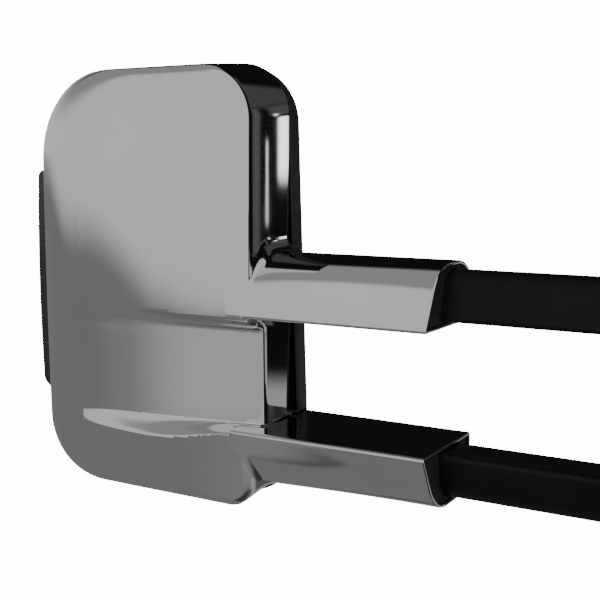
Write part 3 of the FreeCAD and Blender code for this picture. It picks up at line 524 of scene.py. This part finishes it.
def head_field(x, y, z):
    """The head: a crowned front, and an outboard side swept back on an arc that starts level with it."""
    y = y - 2 * ((z - 60) / 150) ** 2 - 2.5 * (np.clip(-440 - x, 0, 160) / 100) ** 2
    share = np.clip((y - FRONT) / DEPTH, 0, 1)
    run = SWEEP - np.clip(y - FRONT, 0, DEPTH)
    full = np.sqrt(SWEEP ** 2 - (SWEEP - DEPTH) ** 2)
    left = LEFT + full - np.sqrt(SWEEP ** 2 - run ** 2) - x
    right = x - (RIGHT + 4 - 4 * share ** 1.7)
    top = z - (TOP - 5 + 5 * share)
    bottom = (BOTTOM + 10 - 10 * share) - z
    chin = 18 + 30 * share
    sides = np.maximum(
        np.maximum(rounded_meet(left, top, UPPER_CORNER), rounded_meet(right, top, INBOARD_CORNER)),
        np.maximum(rounded_meet(left, bottom, LOWER_CORNER), rounded_meet(right, bottom, chin)),
    )
    edge = 0.5 + (FRONT_EDGE - 0.5) * ramp_between(x, -548, -500)
    return rounded_meet(sides, FRONT - y, edge)


def chrome_field(x, y, z):
    """The head with the recess between the sleeves, joined to both sleeves by a fillet."""
    slope = np.clip((x - RECESS_START) / RECESS_RUN, 0, 1.1) ** 1.9
    over = np.clip((z - FLAT + RECESS_ROLL) / RECESS_ROLL, 0, 1)
    ledge = 15 - 11 * ramp_between(x, -450, -370)
    under = ramp_between(-z, FLAT - 1, FLAT - 1 + ledge)
    sunk = RECESS_DEPTH * slope * (1 - over ** 2.2) * (1 - under)
    head = head_field(x, y - sunk, z)
    sleeves = np.maximum(sleeve_field(x, y, z), RIGHT - 12 - x)
    forward = np.where(z < 0, ramp_between(y, -40.5, -24), ramp_between(y, -38, -16))
    width = 1.0 + 11 * forward * ramp_between(np.abs(z), 50, 66)
    return soft_join(head, sleeves, width)


def chrome_unwanted(centre):
    x, y, z = centre
    slot = x < SLOT_SIDE and SLOT_Y[0] < y < SLOT_Y[1] and SLOT_Z[0] < z < SLOT_Z[1]
    return (y > RIM - WALL / 2 and x < ROOT) or x > MOUTH - WALL / 2 or slot


low = (LEFT - 6, FRONT - 5, BOTTOM - 5)
high = (MOUTH + 12, HALF_DEPTH + 5, TOP + 5)
net = surface_net(chrome_field, low, high, CHROME_STEP)
cuts = [
    (0, ROOT, None),
    (1, RIM - WALL / 2, lambda centre: centre.x < ROOT),
    (0, MOUTH - WALL / 2, None),
]
cuts += [(1, value, lambda centre: centre.x < SLOT_SIDE) for value in SLOT_Y]
cuts += [(2, value, lambda centre: centre.x < SLOT_SIDE) for value in SLOT_Z]
chrome = shell("chrome_head_shell", chrome_field, net, cuts, chrome_unwanted, WALL)
install(chrome, "head", "chrome", "chrome_shell")


# ---------------------------------------------------------------- rear housing and indicator lens

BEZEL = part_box("rear_housing")[1][1] / MM
SEAM, BEZEL_LIP = RIM + 1.6, BEZEL - 7
WINDOW_GAP, POLE_GAP, HOUSING_WALL, LENS_WALL = 4.2, 1.5, 2.2, 1.8
WINDOWS = []
for glass in ("main_mirror_glass", "spotter_mirror_glass"):
    low, high = [np.array(corner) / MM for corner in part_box(glass)]
    WINDOWS.append((low[0] - WINDOW_GAP, high[0] + WINDOW_GAP, low[2] - WINDOW_GAP, high[2] + WINDOW_GAP))
MAIN_CORNERS, SPOTTER_CORNERS = (8.0, 8.0, 30.0, 46.0), (42.0, 38.0, 8.0, 8.0)


def window_field(x, z, window, radii):
    left, right, bottom, top = window
    spots = ((left, bottom), (right, bottom), (right, top), (left, top))
    return polygon_field(x, z, [(u, v, radius) for (u, v), radius in zip(spots, radii)])


def housing_field(x, y, z):
    """Rounded tray behind the chrome, its inboard side leaning out towards the bottom, with two windows."""
    share = np.clip((y - RIM) / (BEZEL - RIM), 0, 1)
    leaning = 8 * np.clip((190 - z) / 240, 0, 1)
    right = x - (RIGHT - 5.5 * share + leaning)
    left = LEFT + 1 + 4 * share ** 2 - x
    top = z - (TOP - 1 - 3 * share ** 2)
    bottom = BOTTOM + 1 + 3 * share ** 2 - z
    sides = np.maximum(
        np.maximum(rounded_meet(left, top, UPPER_CORNER), rounded_meet(right, top, INBOARD_CORNER)),
        np.maximum(rounded_meet(left, bottom, LOWER_CORNER), rounded_meet(right, bottom, 48.0)),
    )
    body = rounded_meet(sides, y - BEZEL, 6.0)
    for window, radii in zip(WINDOWS, (MAIN_CORNERS, SPOTTER_CORNERS)):
        body = soft_cut(body, window_field(x, z, window, radii), 3.0)
    sleeve = np.maximum(sleeve_field(x, y, z) - 0.8, RIGHT - 4 - x)
    return soft_cut(body, sleeve, 1.5)


PASSAGE_LOW, PASSAGE_HIGH = [np.array(corner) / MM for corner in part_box("upper_pole")]
PASSAGE_Y = PASSAGE_HIGH[1] + POLE_GAP
PASSAGE_Z = PASSAGE_LOW[2] - POLE_GAP, PASSAGE_HIGH[2] + POLE_GAP


def at_notch_end(centre):
    """The end wall of the sleeve notch, which the poles pass through as the head slides in."""
    return RIGHT - 7 < centre.x < RIGHT - 2


def housing_unwanted(centre):
    x, y, z = centre
    if at_notch_end(centre) and y < PASSAGE_Y and PASSAGE_Z[0] < abs(z) < PASSAGE_Z[1]:
        return True
    if y < SEAM:
        return True
    outlines = zip(WINDOWS, (MAIN_CORNERS, SPOTTER_CORNERS))
    return y < BEZEL_LIP and any(window_field(x, z, window, radii) < 1.0 for window, radii in outlines)


low = (LEFT - 4, RIM - 4, BOTTOM - 4)
high = (RIGHT + 14, BEZEL + 4, TOP + 4)
net = surface_net(housing_field, low, high, HOUSING_STEP)
cuts = [(1, SEAM, None), (1, BEZEL_LIP, None), (1, PASSAGE_Y, at_notch_end)]
cuts += [(2, sign * value, at_notch_end) for sign in (-1, 1) for value in PASSAGE_Z]
housing = shell("rear_housing_shell", housing_field, net, cuts, housing_unwanted, HOUSING_WALL, 3)
install(housing, "head", "textured_black", "rear_housing")


LENS_LOW, LENS_HIGH = [np.array(corner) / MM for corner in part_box("indicator_lens")]
LENS_CUT = LENS_HIGH[0] - 0.5


def lens_field(x, y, z):
    """Long bead on the outboard side: rounded above, bevelled below, its face bowed outwards a little."""
    low, high = LENS_LOW[2] - 1.2, LENS_HIGH[2] + 1.2
    middle = (low + high) / 2
    face = LENS_LOW[0] + 2.5 * ((z - middle) / (high - low) * 2) ** 2
    bevel = (low + 7 - z) * 0.75 + (LENS_LOW[0] + 7 - x) * 0.66
    sides = rounded_meet(np.abs(y - (LENS_LOW[1] + LENS_HIGH[1]) / 2) - 7.6, face - x, 4.0)
    ends = np.maximum(rounded_meet(z - high, face - x, 7.0), rounded_meet(low - z, face - x, 1.5))
    return np.maximum(rounded_meet(sides, np.maximum(ends, bevel), 1.2), x - LENS_HIGH[0])


def lens_unwanted(centre):
    return centre.x > LENS_CUT


net = surface_net(lens_field, LENS_LOW - 4, LENS_HIGH + 4, LENS_STEP)
cuts = [(0, LENS_CUT, None)]
lens = shell("indicator_lens_bead", lens_field, net, cuts, lens_unwanted, LENS_WALL, 3)
install(lens, "head", "smoked_lens", "indicator_lens")


# ---------------------------------------------------------------- studio

floor_mesh = bpy.data.meshes.new("studio_floor")
FLOOR_REACH, FLOOR_LEVEL, FLOOR_GLOW = 30.0, cad_box[0][2] - 0.25, 14.0
floor_mesh.from_pydata(
    [(x * FLOOR_REACH, y * FLOOR_REACH, FLOOR_LEVEL) for x, y in ((-1, -1), (1, -1), (1, 1), (-1, 1))],
    [], [(0, 1, 2, 3)],
)
floor = bpy.data.objects.new("studio_floor", floor_mesh)
bpy.context.scene.collection.objects.link(floor)
floor_material, _, shader, _ = new_material("pale floor")
shader.inputs["Base Color"].default_value = (0.93, 0.93, 0.93, 1)
shader.inputs["Roughness"].default_value = 0.9
shader.inputs["Emission Color"].default_value = (1, 1, 1, 1)
shader.inputs["Emission Strength"].default_value = FLOOR_GLOW
floor.data.materials.append(floor_material)
floor.visible_glossy = False
floor.visible_diffuse = False

world = bpy.data.worlds.new("studio")
bpy.context.scene.world = world
world.use_nodes = True
nodes = Nodes(world.node_tree)
path = nodes.add("ShaderNodeLightPath")
direction = nodes.add("ShaderNodeTexCoord").outputs["Generated"]
axes = nodes.add("ShaderNodeSeparateXYZ", Vector=direction)
dx, dy, dz = axes.outputs
# angle round from straight ahead (-Y) towards the outboard side (-X), and height, both in degrees
turn = nodes.math("ARCTAN2", nodes.math("MULTIPLY", dx, -1.0), nodes.math("MULTIPLY", dy, -1.0))
turn = nodes.math("MULTIPLY", turn, degrees(1))
height = nodes.math("MULTIPLY", nodes.math("ARCSINE", dz), degrees(1))


def step_up(value, low, high):
    node = nodes.add("ShaderNodeMapRange", Value=value, interpolation_type="SMOOTHSTEP")
    for name, number in (("From Min", low), ("From Max", high), ("To Min", 0.0), ("To Max", 1.0)):
        node.inputs[name].default_value = number
    return node.outputs[0]


def both(a, b):
    return nodes.math("MULTIPLY", a, b)


def blend(share, a, b):
    """a where share is 0, b where it is 1."""
    return nodes.math("ADD", both(nodes.math("SUBTRACT", 1.0, share), a), both(share, b))


def band(value, low, high, soft):
    fallen = nodes.math("SUBTRACT", 1.0, step_up(value, high - soft, high + soft))
    return both(step_up(value, low - soft, low + soft), fallen)


def rising(value, low, high, start, end):
    return nodes.math("MULTIPLY_ADD", step_up(value, low, high), end - start, start)


# ahead: a pale wall over a darker ground, which darkens downwards and towards the outboard side
below = rising(height, -60.0, -24.0, 0.04, 0.22)
dark = blend(step_up(height, -21.0, -14.0), below, rising(turn, 19.0, 33.0, 0.42, 0.21))
ahead = blend(step_up(height, -9.6, -7.8), dark, 0.6)
# outboard: the ground rises to eye level, and the wall dims overhead
edge = nodes.math("ADD", rising(turn, 34.0, 46.0, -9.0, -3.0), rising(turn, 46.0, 110.0, 0.0, 3.6))
skyline = nodes.math("SUBTRACT", height, edge)
ground = both(step_up(turn, 33.0, 38.0), nodes.math("SUBTRACT", 1.0, step_up(skyline, -2.2, 2.2)))
ahead = blend(ground, ahead, 0.175)
ahead = blend(both(step_up(height, 8.0, 22.0), step_up(turn, 32.0, 42.0)), ahead, 0.27)
# behind: near black at eye level and above, grey below, with lamps and faint panels on the inboard side, each
# given as low and high turn, bottom and top height, softness of its edges, and glow
inboard = band(turn, -167.0, -141.0, 3.0)
lifted = nodes.math("MULTIPLY_ADD", inboard, 2.6, height)
rear = blend(step_up(lifted, -10.2, -8.6), rising(height, -50.0, -28.0, 0.1, 0.35), 0.006)
for low, high, bottom, top, soft, glow in (
    (-161.5, -158.5, -1.0, 3.2, 0.6, 2.5),
    (-155.2, -154.6, -3.5, 1.0, 0.25, 1.2),
    (-152.6, -149.8, -7.0, 14.0, 0.7, 0.09),
    (-166.0, -156.0, 5.5, 14.0, 1.2, 0.08),
    (-158.0, -157.0, 4.2, 6.5, 0.4, 1.5),
    (-172.0, -136.0, 14.0, 62.0, 4.0, 0.06),
):
    shine = both(band(turn, low, high, soft), band(height, bottom, top, soft))
    rear = blend(shine, rear, glow)
outboard_rear = step_up(turn, 136.0, 144.0)
inboard_rear = nodes.math("SUBTRACT", 1.0, step_up(turn, -100.0, -85.0))
high_rear = both(step_up(height, 16.0, 28.0), step_up(dy, 0.25, 0.45))
behind = nodes.math("MAXIMUM", nodes.math("MAXIMUM", outboard_rear, inboard_rear), high_rear)
reflected = blend(behind, ahead, rear)
FILL, BACKDROP = 0.75, 15.0
seen = blend(path.outputs["Is Camera Ray"], FILL, BACKDROP)
level = blend(path.outputs["Is Glossy Ray"], seen, reflected)
background = nodes.add("ShaderNodeBackground", Strength=1.0)
grey = nodes.add("ShaderNodeCombineColor")
for socket in grey.inputs:
    nodes.put(socket, level)
nodes.put(background.inputs["Color"], grey.outputs[0])
output = nodes.add("ShaderNodeOutputWorld")
nodes.put(output.inputs["Surface"], background.outputs[0])

camera_data = bpy.data.cameras.new("camera")
camera_data.lens = 62.58
camera_data.sensor_width = 36.0
camera = bpy.data.objects.new("camera", camera_data)
camera.location = (0.01168, -0.61078, 0.14239)
camera.rotation_euler = (radians(82.4), 0, radians(30.3))
bpy.context.scene.collection.objects.link(camera)
bpy.context.scene.camera = camera
